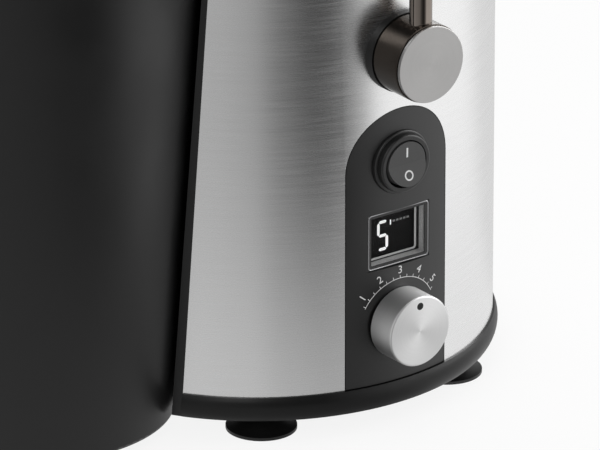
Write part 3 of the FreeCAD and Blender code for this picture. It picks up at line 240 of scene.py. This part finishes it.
def spunMetal(name, centreZ, grey, rough, warm, paintedSheen, edge, sideRough):
    plan = spunLook
    material, look = newFinish(name)
    x, y, z = look.split(look.place())
    dx = x - axisX
    dz = z - centreZ
    radius = (dx * dx + dz * dz) ** 0.5
    turn = look.sum("ARCTAN2", dz, dx)
    ringPlace = look.vector(radius * plan["ring"], y * plan["ringDepth"], 0.0)
    rings = look.noise(ringPlace, 1.0, 2.0, plan["ringRough"])
    arcs = look.noise(look.vector(radius * plan["arc"], turn * plan["arcTurn"], y * plan["arc"]), 1.0, 2.0)
    grain = rings * plan["ringShare"] + arcs * (1.0 - plan["ringShare"])
    # painted sheen: the base colour goes lighter and darker by angle round the axis, standing in for the reflections
    # of spun metal
    paintedFaceSheen = look.ripple(turn * 2.0 - plan["faceStart"])
    paintedSideSheen = look.ripple(turn * 4.0 - plan["sideStart"])
    side = look.spread(radius, edge - plan["edgeFade"], edge, 0.0, 1.0)
    depth = plan["plainDepth"] + plan["paintedSheenDepth"] * paintedSheen
    faceGrainAndSheen = (grain * (1.0 - paintedSheen) + paintedFaceSheen * paintedSheen) * depth + (1.0 - depth)
    mixed = faceGrainAndSheen + (paintedSideSheen - faceGrainAndSheen) * side
    ground = look.fromNoise(grain, rough - plan["smoother"], rough + plan["rougher"])
    look.close({
        "Base Color": look.blendColour(mixed, tone(grey * plan["dark"], warm), tone(grey * plan["pale"], warm)),
        "Metallic": 1.0,
        "Roughness": ground + side * sideRough,
        "Normal": look.bump(rings, plan["bump"], plan["relief"]),
    })
    return material


# plated or ground metal with faint handling marks
plainLook = {"slow": 60.0, "dark": 0.8, "smoother": 0.8, "rougher": 1.3, "relief": 0.0001}


def plainMetal(name, colour, rough, grain=900.0, bump=0.03):
    plan = plainLook
    material, look = newFinish(name)
    place = look.place()
    fine = look.noise(place, grain, 2.0)
    slow = look.noise(place, plan["slow"])
    look.close({
        "Base Color": look.blendColour(slow, darken(colour, plan["dark"]), colour),
        "Metallic": 1.0,
        "Roughness": look.fromNoise(slow, rough * plan["smoother"], rough * plan["rougher"]),
        "Normal": look.bump(fine, bump, plan["relief"]),
    })
    return material


# clear plastic: a thin tinted wall, with a clear gloss where coat isn't nought
clearLook = {"slow": 30.0, "dark": 0.95, "smooth": 0.12, "rough": 0.18, "swing": 0.02, "coatRough": 0.06}


def clearPlastic(name, grey, alpha, coat, gloss):
    plan = clearLook
    material, look = newFinish(name)
    slow = look.noise(look.place(), plan["slow"], 2.0)
    look.close({
        "Base Color": look.blendColour(slow, tone(grey * plan["dark"]), tone(grey)),
        "Roughness": look.fromNoise(slow, plan["smooth"], plan["rough"]),
        "Alpha": look.fromNoise(slow, alpha - plan["swing"], alpha + plan["swing"]),
        "Coat Weight": coat,
        "Coat Roughness": plan["coatRough"],
        "Specular IOR Level": gloss,
    })
    return material


# printed ink, or a lit display segment where glow isn't nought; a faint glow also serves a painted highlight
inkLook = {"grain": 2500.0, "dark": 0.94, "smooth": 0.45, "rough": 0.6}


def inkFinish(name, grey, glow=0.0):
    plan = inkLook
    material, look = newFinish(name)
    fine = look.noise(look.place(), plan["grain"], 2.0)
    look.close({
        "Base Color": look.blendColour(fine, tone(grey * plan["dark"]), tone(grey)),
        "Roughness": look.fromNoise(fine, plan["smooth"], plan["rough"]),
        "Emission Color": tone(1.0),
        "Emission Strength": glow,
    })
    return material


# wound wire: fine turns stacked along Z
woundLook = {"turns": 900.0, "wander": 2.0, "dark": 0.5, "metal": 0.8, "grooveRough": 0.45, "crestRough": 0.3,
             "bump": 0.4, "relief": 0.0003}


def woundWire(name, colour):
    plan = woundLook
    material, look = newFinish(name)
    turns = look.wire("ShaderNodeTexWave", "Fac", {"wave_type": "BANDS", "bands_direction": "Z"},
                      {"Vector": look.place(), "Scale": plan["turns"], "Distortion": plan["wander"]})
    look.close({
        "Base Color": look.blendColour(turns, darken(colour, plan["dark"]), colour),
        "Metallic": plan["metal"],
        "Roughness": look.spread(turns, 0.0, 1.0, plan["grooveRough"], plan["crestRough"]),
        "Normal": look.bump(turns, plan["bump"], plan["relief"]),
    })
    return material


finishes = {
    "shell": brushedShell("brushedShell"),
    "panel": mouldedPlastic("panelPlastic", grey=0.003, rough=0.4, grain=2600.0, bump=0.1, gloss=0.72),
    "bin": mouldedPlastic("binPlastic", grey=0.005, rough=0.4, grain=1900.0, bump=0.06),
    "ring": mouldedPlastic("ringPlastic", grey=0.004, rough=0.38, grain=2600.0, bump=0.08, gloss=0.32),
    "gloss": mouldedPlastic("glossPlastic", grey=0.014, rough=0.36, grain=1500.0, bump=0.05),
    "rocker": mouldedPlastic("rockerPlastic", grey=0.05, rough=0.4, grain=1500.0, bump=0.05),
    "grey": mouldedPlastic("greyPlastic", grey=0.3, rough=0.35, grain=1500.0, bump=0.05),
    "frame": recessPlastic("framePlastic"),
    "rubber": mouldedPlastic("footRubber", grey=0.008, rough=0.4, grain=1400.0, bump=0.08),
    # the knob carries a strong painted sheen on face and side, the cap a faint one on its face
    "knob": spunMetal("spunKnob", knobZ, grey=0.83, rough=0.35, warm=0.0, paintedSheen=0.6, edge=0.016, sideRough=0.2),
    "cap": spunMetal("spunCap", hubZ, grey=0.43, rough=0.36, warm=0.012, paintedSheen=0.15, edge=0.018, sideRough=0.0),
    "hub": plainMetal("gunmetal", (0.066, 0.056, 0.048, 1.0), rough=0.2),
    "bar": plainMetal("polishedBar", (0.3, 0.26, 0.23, 1.0), rough=0.05),
    "bright": plainMetal("groundSteel", (0.6, 0.6, 0.61, 1.0), rough=0.28, grain=1500.0, bump=0.08),
    "cast": plainMetal("castAluminium", (0.5, 0.5, 0.51, 1.0), rough=0.48, grain=700.0, bump=0.3),
    "sheets": plainMetal("stackedSheets", (0.22, 0.22, 0.24, 1.0), rough=0.5, grain=2200.0, bump=0.4),
    "wire": woundWire("coilWire", (0.62, 0.28, 0.12, 1.0)),
    "carbon": mouldedPlastic("pressedCarbon", grey=0.03, rough=0.7, grain=1800.0, bump=0.3),
    "board": mouldedPlastic("boardCoat", grey=0.08, rough=0.4, grain=900.0, bump=0.1),
    "screen": mouldedPlastic("displayGlass", grey=0.004, rough=0.3, grain=300.0, bump=0.01, gloss=0.08),
    "clear": clearPlastic("smokeLid", grey=0.05, alpha=0.6, coat=0.25, gloss=0.5),
    "lens": clearPlastic("clearLens", grey=0.02, alpha=0.05, coat=0.0, gloss=0.1),
    "print": inkFinish("whitePrint", grey=0.82),
    "lit": inkFinish("litSegment", grey=0.85, glow=0.5),
    "dim": inkFinish("dimSegment", grey=0.3),
    # painted highlight: a pale, faintly glowing finish for the bead round the display glass
    "edge": inkFinish("paintedEdgeHighlight", grey=0.6, glow=0.04),
    "rim": plainMetal("platedRim", (0.42, 0.42, 0.43, 1.0), rough=0.22),
}
nodeFinish = {
    "shell": "steel_shell",
    "panel": "control_panel",
    "bin": "pulp_bin bin_nest",
    "ring": "base_pan top_deck pusher switch_body safety_switch pivot_flange_front pivot_flange_rear"
            " pivot_boss_front pivot_boss_rear knob_pointer",
    "gloss": "switch_bezel cooling_fan drive_coupling brush_holders speed_encoder",
    "rocker": "rocker_button",
    "grey": "filter_bowl basket_rim basket_hub",
    "frame": "display_frame",
    "rubber": "suction_foot_front_left suction_foot_front_right suction_foot_rear_left suction_foot_rear_right"
              " motor_mounts spindle_seal bowl_seal cord_gland",
    "knob": "speed_knob",
    "cap": "hub_cap_front hub_cap_rear",
    "hub": "arm_hub_front arm_hub_rear",
    "bar": "locking_bar",
    "bright": "base_screws motor_screws pivot_pin_front pivot_pin_rear motor_shaft upper_bearing lower_bearing"
              " encoder_shaft filter_basket grating_disc",
    "cast": "upper_bracket lower_bracket",
    "sheets": "stator_core armature_core",
    "wire": "field_coils armature_coils commutator",
    "carbon": "carbon_brushes",
    "board": "control_board",
    "screen": "lcd_module",
    "clear": "lid",
    "lens": "display_window",
}


def dress(piece, material):
    piece.data.materials.clear()
    piece.data.materials.append(material)


for finishName, members in nodeFinish.items():
    for member in members.split():
        dress(nodes[member], finishes[finishName])
print("finishes set")


# turns every face of a thin piece to look out of the front
def faceFront(piece):
    shape = bmesh.new()
    shape.from_mesh(piece.data)
    shape.normal_update()
    turned = [face for face in shape.faces if face.normal.dot(towardsFront) < 0]
    bmesh.ops.reverse_faces(shape, faces=turned)
    shape.to_mesh(piece.data)
    shape.free()


def finishPiece(piece, body):
    faceFront(piece)
    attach(piece, body)


def newPiece(name, verts, faces, material, body):
    mesh = bpy.data.meshes.new(name)
    mesh.from_pydata([tuple(v) for v in verts], [], faces)
    mesh.update()
    piece = bpy.data.objects.new(name, mesh)
    scene.collection.objects.link(piece)
    dress(piece, material)
    finishPiece(piece, body)
    return piece


# lit segments on the display: the digit and a tick, each bar with pointed ends
displayPlan = {"z": 0.0885, "face": -0.0986, "lift": 0.00008, "digitX": -0.0049, "digitZ": -0.0003,
               "digitWidth": 0.0046, "digitHeight": 0.0128, "bar": 0.0014, "gapShare": 0.12,
               "tickX": -0.0006, "tickLow": 0.0038, "tickHigh": 0.0067, "tickBar": 0.0007}


def onDisplay(across, up):
    return Vector((axisX + across, displayPlan["face"] - displayPlan["lift"], displayPlan["z"] + up))


def segment(start, end, thick):
    along = (end - start).normalized()
    side = Vector((-along.y, along.x)) * thick / 2
    gap = along * thick * displayPlan["gapShare"]
    tip = along * thick / 2
    first, last = start + gap, end - gap
    return [first, first + tip + side, last - tip + side, last, last - tip - side, first + tip - side]


def displayMarks():
    plan = displayPlan
    halfW, halfH = plan["digitWidth"] / 2, plan["digitHeight"] / 2
    left, right = plan["digitX"] - halfW, plan["digitX"] + halfW
    topLeft, topRight = Vector((left, halfH)), Vector((right, halfH))
    midLeft, midRight = Vector((left, 0)), Vector((right, 0))
    lowLeft, lowRight = Vector((left, -halfH)), Vector((right, -halfH))
    bars = [(topLeft, topRight), (topLeft, midLeft), (midLeft, midRight), (midRight, lowRight), (lowLeft, lowRight)]
    outlines = [segment(start, end, plan["bar"]) for start, end in bars]
    tickLow, tickHigh = Vector((plan["tickX"], plan["tickLow"])), Vector((plan["tickX"], plan["tickHigh"]))
    outlines.append(segment(tickLow, tickHigh, plan["tickBar"]))
    verts, faces = [], []
    for outline in outlines:
        base = len(verts)
        verts += [onDisplay(point.x, plan["digitZ"] + point.y) for point in outline]
        faces.append(list(range(base, base + len(outline))))
    newPiece("display_marks", verts, faces, finishes["lit"], "motor_base")


displayMarks()

# half-round bead that runs round a rectangle with rounded corners, standing out from a plane across Y
glassEdgeHighlightPlan = {"halfWidth": 0.0129, "halfHeight": 0.0103, "corner": 0.0012, "radius": 0.0005, "face": -0.0986}
windowRimPlan = {"halfWidth": 0.0162, "halfHeight": 0.0127, "corner": 0.0014, "radius": 0.00035, "face": -0.1034}
beadSteps = {"turn": 6, "arch": 6}


def beadLoop(name, plan, material):
    verts, faces = [], []
    corners = ((1, 1, 0.0), (-1, 1, 0.5), (-1, -1, 1.0), (1, -1, 1.5))
    for signX, signZ, quarter in corners:
        middleX = axisX + signX * (plan["halfWidth"] - plan["corner"])
        middleZ = displayPlan["z"] + signZ * (plan["halfHeight"] - plan["corner"])
        for step in range(beadSteps["turn"] + 1):
            angle = (quarter + 0.5 * step / beadSteps["turn"]) * math.pi
            for rung in range(beadSteps["arch"] + 1):
                arch = math.pi * rung / beadSteps["arch"]
                reach = plan["corner"] + plan["radius"] * math.cos(arch)
                y = plan["face"] - plan["radius"] * math.sin(arch)
                verts.append(Vector((middleX + reach * math.cos(angle), y, middleZ + reach * math.sin(angle))))
    ladder, stations = beadSteps["arch"] + 1, len(corners) * (beadSteps["turn"] + 1)
    for station in range(stations):
        here, there = station * ladder, (station + 1) % stations * ladder
        faces += [(here + k, here + k + 1, there + k + 1, there + k) for k in range(beadSteps["arch"])]
    piece = newPiece(name, verts, faces, material, "motor_base")
    for polygon in piece.data.polygons:
        polygon.use_smooth = True


# painted highlight: a pale bead round the display glass stands in for light on the glass's rounded edges
beadLoop("glass_edge_highlight", glassEdgeHighlightPlan, finishes["edge"])
beadLoop("window_rim", windowRimPlan, finishes["rim"])
print("display marked and rimmed")


# a row of small plates set out by a node tree: along a line, or fanned round an arc when its radius isn't nought
def plateRow(name, material, sizes):
    tree = bpy.data.node_groups.new(name, "GeometryNodeTree")
    tree.interface.new_socket("Geometry", in_out="OUTPUT", socket_type="NodeSocketGeometry")
    sockets = {}
    for label in sizes:
        kind = "NodeSocketInt" if label == "Count" else "NodeSocketFloat"
        sockets[label] = tree.interface.new_socket(label, in_out="INPUT", socket_type=kind).identifier
    graph = Graph(tree)
    given = graph.add("NodeGroupInput")
    size = {label: Wire(graph, given.outputs[label]) for label in sizes}
    index = graph.wire("GeometryNodeInputIndex", 0)
    angle = size["Start"] + index * size["Turn"]
    across = graph.sum("COSINE", angle, 0.0) * size["Radius"] + index * size["Step"]
    up = graph.sum("SINE", angle, 0.0) * size["Radius"]
    line = graph.wire("GeometryNodeMeshLine", 0, None, {"Count": size["Count"]})
    spread = graph.wire("GeometryNodeSetPosition", 0, None, {0: line, "Position": graph.vector(across, up, 0.0)})
    plateSize = {"Size X": size["Length"], "Size Y": size["Width"], "Vertices X": 2, "Vertices Y": 2}
    plate = graph.wire("GeometryNodeMeshGrid", 0, None, plateSize)
    rowInputs = {0: spread, "Instance": plate, "Rotation": graph.vector(0.0, 0.0, angle)}
    row = graph.wire("GeometryNodeInstanceOnPoints", 0, None, rowInputs)
    whole = graph.wire("GeometryNodeRealizeInstances", 0, None, {0: row})
    inked = graph.wire("GeometryNodeSetMaterial", 0, None, {0: whole, "Material": material})
    graph.add("NodeGroupOutput", None, {0: inked})
    holder = bpy.data.objects.new(name, bpy.data.meshes.new(name))
    scene.collection.objects.link(holder)
    modifier = holder.modifiers.new(name, "NODES")
    modifier.node_group = tree
    for label, value in sizes.items():
        modifier[sockets[label]] = value
    made = settledMesh(holder)
    holder.modifiers.remove(modifier)
    holder.data = made
    return holder


def settledMesh(source):
    return bpy.data.meshes.new_from_object(source.evaluated_get(bpy.context.evaluated_depsgraph_get()))


# small level bars beside the digit
levelPlan = {"Count": 5, "Radius": 0.0, "Start": 0.0, "Turn": 0.0, "Step": 0.0019, "Length": 0.0013, "Width": 0.0009}
levelPlace = {"x": 0.0012, "z": 0.0052}
levelBars = plateRow("level_bars", finishes["dim"], levelPlan)
for vert in levelBars.data.vertices:
    vert.co = onDisplay(levelPlace["x"] + vert.co.x, levelPlace["z"] + vert.co.y)
finishPiece(levelBars, "motor_base")

# dial print: ticks, a thin arc and plain numbers on the panel's curve
dialPlan = {"z": knobZ, "lift": 0.00006, "arc": 0.0203, "line": 0.0003, "halfSweep": 62.0, "arcSteps": 64,
            "numbers": 0.0243, "height": 0.0036, "heightShare": 0.7, "curveSteps": 6,
            "count": 5, "firstBearing": -52, "bearingStep": 26}
tickPlan = {"Count": 13, "Radius": 0.0212, "Start": math.radians(30.0), "Turn": math.radians(10.0), "Step": 0.0,
            "Length": 0.0011, "Width": 0.0003}


# a flat place (across, up) from the knob's middle, laid on the panel's curve
def onPanel(across, up):
    angle = across / shellRadius
    reach = shellRadius + dialPlan["lift"]
    return Vector((axisX + reach * math.sin(angle), -reach * math.cos(angle), dialPlan["z"] + up))


def wrapOnPanel(piece):
    for vert in piece.data.vertices:
        vert.co = onPanel(vert.co.x, vert.co.y)


def dialTicks():
    piece = plateRow("dial_ticks", finishes["print"], tickPlan)
    wrapOnPanel(piece)
    finishPiece(piece, "motor_base")


def dialArc():
    verts, faces = [], []
    steps = dialPlan["arcSteps"]
    for step in range(steps + 1):
        angle = math.radians(90 - dialPlan["halfSweep"] + 2 * dialPlan["halfSweep"] * step / steps)
        for reach in (dialPlan["arc"], dialPlan["arc"] + dialPlan["line"]):
            verts.append(onPanel(reach * math.cos(angle), reach * math.sin(angle)))
        if step:
            faces.append((2 * step - 2, 2 * step - 1, 2 * step + 1, 2 * step))
    newPiece("dial_arc", verts, faces, finishes["print"], "motor_base")


def dialNumber(text, bearing):
    curve = bpy.data.curves.new("number", "FONT")
    curve.body = text
    curve.size = dialPlan["height"] / dialPlan["heightShare"]
    curve.align_x = "CENTER"
    curve.align_y = "CENTER"
    curve.resolution_u = dialPlan["curveSteps"]
    source = bpy.data.objects.new("number", curve)
    scene.collection.objects.link(source)
    mesh = settledMesh(source)
    bpy.data.objects.remove(source)
    piece = bpy.data.objects.new("dial_number_" + text, mesh)
    scene.collection.objects.link(piece)
    lean = Matrix.Rotation(-bearing, 3, "Z")
    centre = Vector((math.sin(bearing), math.cos(bearing), 0)) * dialPlan["numbers"]
    for vert in mesh.vertices:
        vert.co = lean @ vert.co + centre
    wrapOnPanel(piece)
    dress(piece, finishes["print"])
    finishPiece(piece, "motor_base")


dialTicks()
dialArc()
for number in range(dialPlan["count"]):
    dialNumber(str(number + 1), math.radians(dialPlan["firstBearing"] + dialPlan["bearingStep"] * number))
print("dial printed")

# marks on the two slopes of the rocker
rockerPlan = {"hingeY": -0.1066, "hingeZ": 0.124, "lean": 82.0, "waist": 0.003, "slope": 9.0, "lift": 0.00006,
              "barAt": 0.0052, "barLong": 0.0044, "barWide": 0.0009,
              "ringAt": -0.0052, "ringOuter": 0.0023, "ringInner": 0.0016, "ringSteps": 40}


def onRocker(across, along):
    plan = rockerPlan
    rise = plan["waist"] + abs(along) * math.tan(math.radians(plan["slope"])) + plan["lift"]
    cosine, sine = math.cos(math.radians(plan["lean"])), math.sin(math.radians(plan["lean"]))
    y = plan["hingeY"] + along * cosine - rise * sine
    z = plan["hingeZ"] + along * sine + rise * cosine
    return Vector((axisX + across, y, z))


def rockerMarks():
    plan = rockerPlan
    wide = plan["barWide"] / 2
    low, high = plan["barAt"] - plan["barLong"] / 2, plan["barAt"] + plan["barLong"] / 2
    verts = [onRocker(-wide, low), onRocker(wide, low), onRocker(wide, high), onRocker(-wide, high)]
    faces = [(0, 1, 2, 3)]
    first, steps = len(verts), plan["ringSteps"]
    for step in range(steps):
        angle = 2 * math.pi * step / steps
        for radius in (plan["ringInner"], plan["ringOuter"]):
            verts.append(onRocker(radius * math.sin(angle), plan["ringAt"] + radius * math.cos(angle)))
    for step in range(steps):
        here, after = first + 2 * step, first + 2 * ((step + 1) % steps)
        faces.append((here, here + 1, after + 1, after))
    newPiece("rocker_marks", verts, faces, finishes["print"], "rocker")


rockerMarks()
print("rocker marked")


def aim(thing, place, target):
    scene.collection.objects.link(thing)
    thing.location = Vector(place)
    thing.rotation_mode = "QUATERNION"
    thing.rotation_quaternion = (Vector(target) - thing.location).to_track_quat("-Z", "Y")


# studio: a camera at the viewing angle, soft boxes and a white floor
camPlan = {"place": (-2.3865, -3.2760, 1.7761), "target": (0.05035, -0.01146, 0.05857), "lens": 597.4, "sensor": 36.0,
           "clipStart": 0.1, "clipEnd": 30.0}
camData = bpy.data.cameras.new("camera")
camera = bpy.data.objects.new("camera", camData)
aim(camera, camPlan["place"], camPlan["target"])
camData.lens = camPlan["lens"]
camData.sensor_width = camPlan["sensor"]
camData.sensor_fit = "HORIZONTAL"
camData.clip_start, camData.clip_end = camPlan["clipStart"], camPlan["clipEnd"]
scene.camera = camera

lampTarget = (0.03, 0, 0.15)
lampPlan = {
    "leftBox": {"place": (-1.5, -1.3, 1.5), "size": 1.0, "power": 7.0},
    "rightBox": {"place": (1.9, -0.6, 1.0), "size": 1.6, "power": 20.0},
    "topBox": {"place": (0.1, 0.2, 2.0), "size": 1.6, "power": 16.0},
}
for lampName, plan in lampPlan.items():
    lampData = bpy.data.lights.new(lampName, "AREA")
    lampData.shape = "SQUARE"
    lampData.size = plan["size"]
    lampData.energy = plan["power"]
    aim(bpy.data.objects.new(lampName, lampData), plan["place"], lampTarget)

floorPlan = {"reach": 12.0, "nearAt": 0.13, "farAt": 0.5, "nearShare": 0.45, "nearTone": 0.73, "diffuse": 0.85,
             "direct": 0.88, "glossy": 0.1}
reach = floorPlan["reach"]
floorMesh = bpy.data.meshes.new("floor")
floorCorners = [(-reach, -reach, 0), (reach, -reach, 0), (reach, reach, 0), (-reach, reach, 0)]
floorMesh.from_pydata(floorCorners, [], [(0, 1, 2, 3)])
floor = bpy.data.objects.new("floor", floorMesh)
scene.collection.objects.link(floor)


def seenDirectly(look):
    seen, glossy, through = look.rayKind("Is Camera Ray", "Is Glossy Ray", "Is Transmission Ray")
    return look.sum("MINIMUM", seen + glossy + through, 1.0)


# what shiny pieces see: a pale room with a dark flag in front, by bearing round the motor's axis,
# from 0 behind by way of the left to 0.5 in front and on by the right
flagStops = [(0.0, 0.55), (0.25, 0.53), (0.33, 0.44), (0.39, 0.355), (0.43, 0.137), (0.465, 0.036), (0.494, 0.045),
             (0.527, 0.36), (0.552, 1.0), (0.69, 1.0), (0.75, 0.74), (0.86, 0.68), (0.93, 0.27), (1.0, 0.55)]


def roomTone(look, x, y):
    bearing = look.sum("ARCTAN2", x, 0.0 - y) / (2 * math.pi) + 0.5
    stops = [(at, tone(grey)) for at, grey in flagStops]
    ramp = look.add("ShaderNodeValToRGB", {"stops": stops}, {0: bearing})
    ramp.color_ramp.interpolation = "EASE"
    return Wire(look, ramp.outputs[0])


# white to the eye, the room's tones to shiny pieces, and plain paint that keeps the shadow
def floorFinish(name):
    plan = floorPlan
    material, look = newFinish(name)
    x, y = look.split(look.place())[:2]
    dx = x - axisX
    glossy = look.rayKind("Is Glossy Ray")[0]
    far = look.spread((dx * dx + y * y) ** 0.5, plan["nearAt"], plan["farAt"], plan["nearShare"], 1.0)
    mirrored = look.blendColour(far, tone(plan["nearTone"]), roomTone(look, dx, y))
    shown = look.blendColour(glossy, tone(1.0), mirrored)
    lit = look.wire("ShaderNodeBsdfDiffuse", 0, None, {"Color": tone(plan["diffuse"])})
    plain = look.wire("ShaderNodeEmission", 0, None, {"Color": shown, "Strength": 1.0})
    share = seenDirectly(look) * plan["direct"] + glossy * plan["glossy"]
    both = look.wire("ShaderNodeMixShader", 0, None, {0: share, 1: lit, 2: plain})
    look.add("ShaderNodeOutputMaterial", None, {"Surface": both})
    return material


dress(floor, floorFinish("paleFloor"))

skyPlan = {"room": 0.45}
scene.world = bpy.data.worlds.new("studio")
sky = emptyGraph(scene.world)


def skyLight(colour, strength):
    return sky.wire("ShaderNodeBackground", 0, None, {"Color": colour, "Strength": strength})


skyX, skyY = sky.split(sky.wire("ShaderNodeTexCoord", "Generated"))[:2]
skyParts = {0: seenDirectly(sky), 1: skyLight(tone(1.0), skyPlan["room"]), 2: skyLight(tone(1.0), 1.0)}
plainSky = sky.wire("ShaderNodeMixShader", 0, None, skyParts)
flags = skyLight(roomTone(sky, skyX, skyY), 1.0)
wholeSky = {0: sky.rayKind("Is Glossy Ray")[0], 1: plainSky, 2: flags}
sky.add("ShaderNodeOutputWorld", None, {"Surface": sky.wire("ShaderNodeMixShader", 0, None, wholeSky)})
scene.view_settings.view_transform = "Standard"
print("studio set")
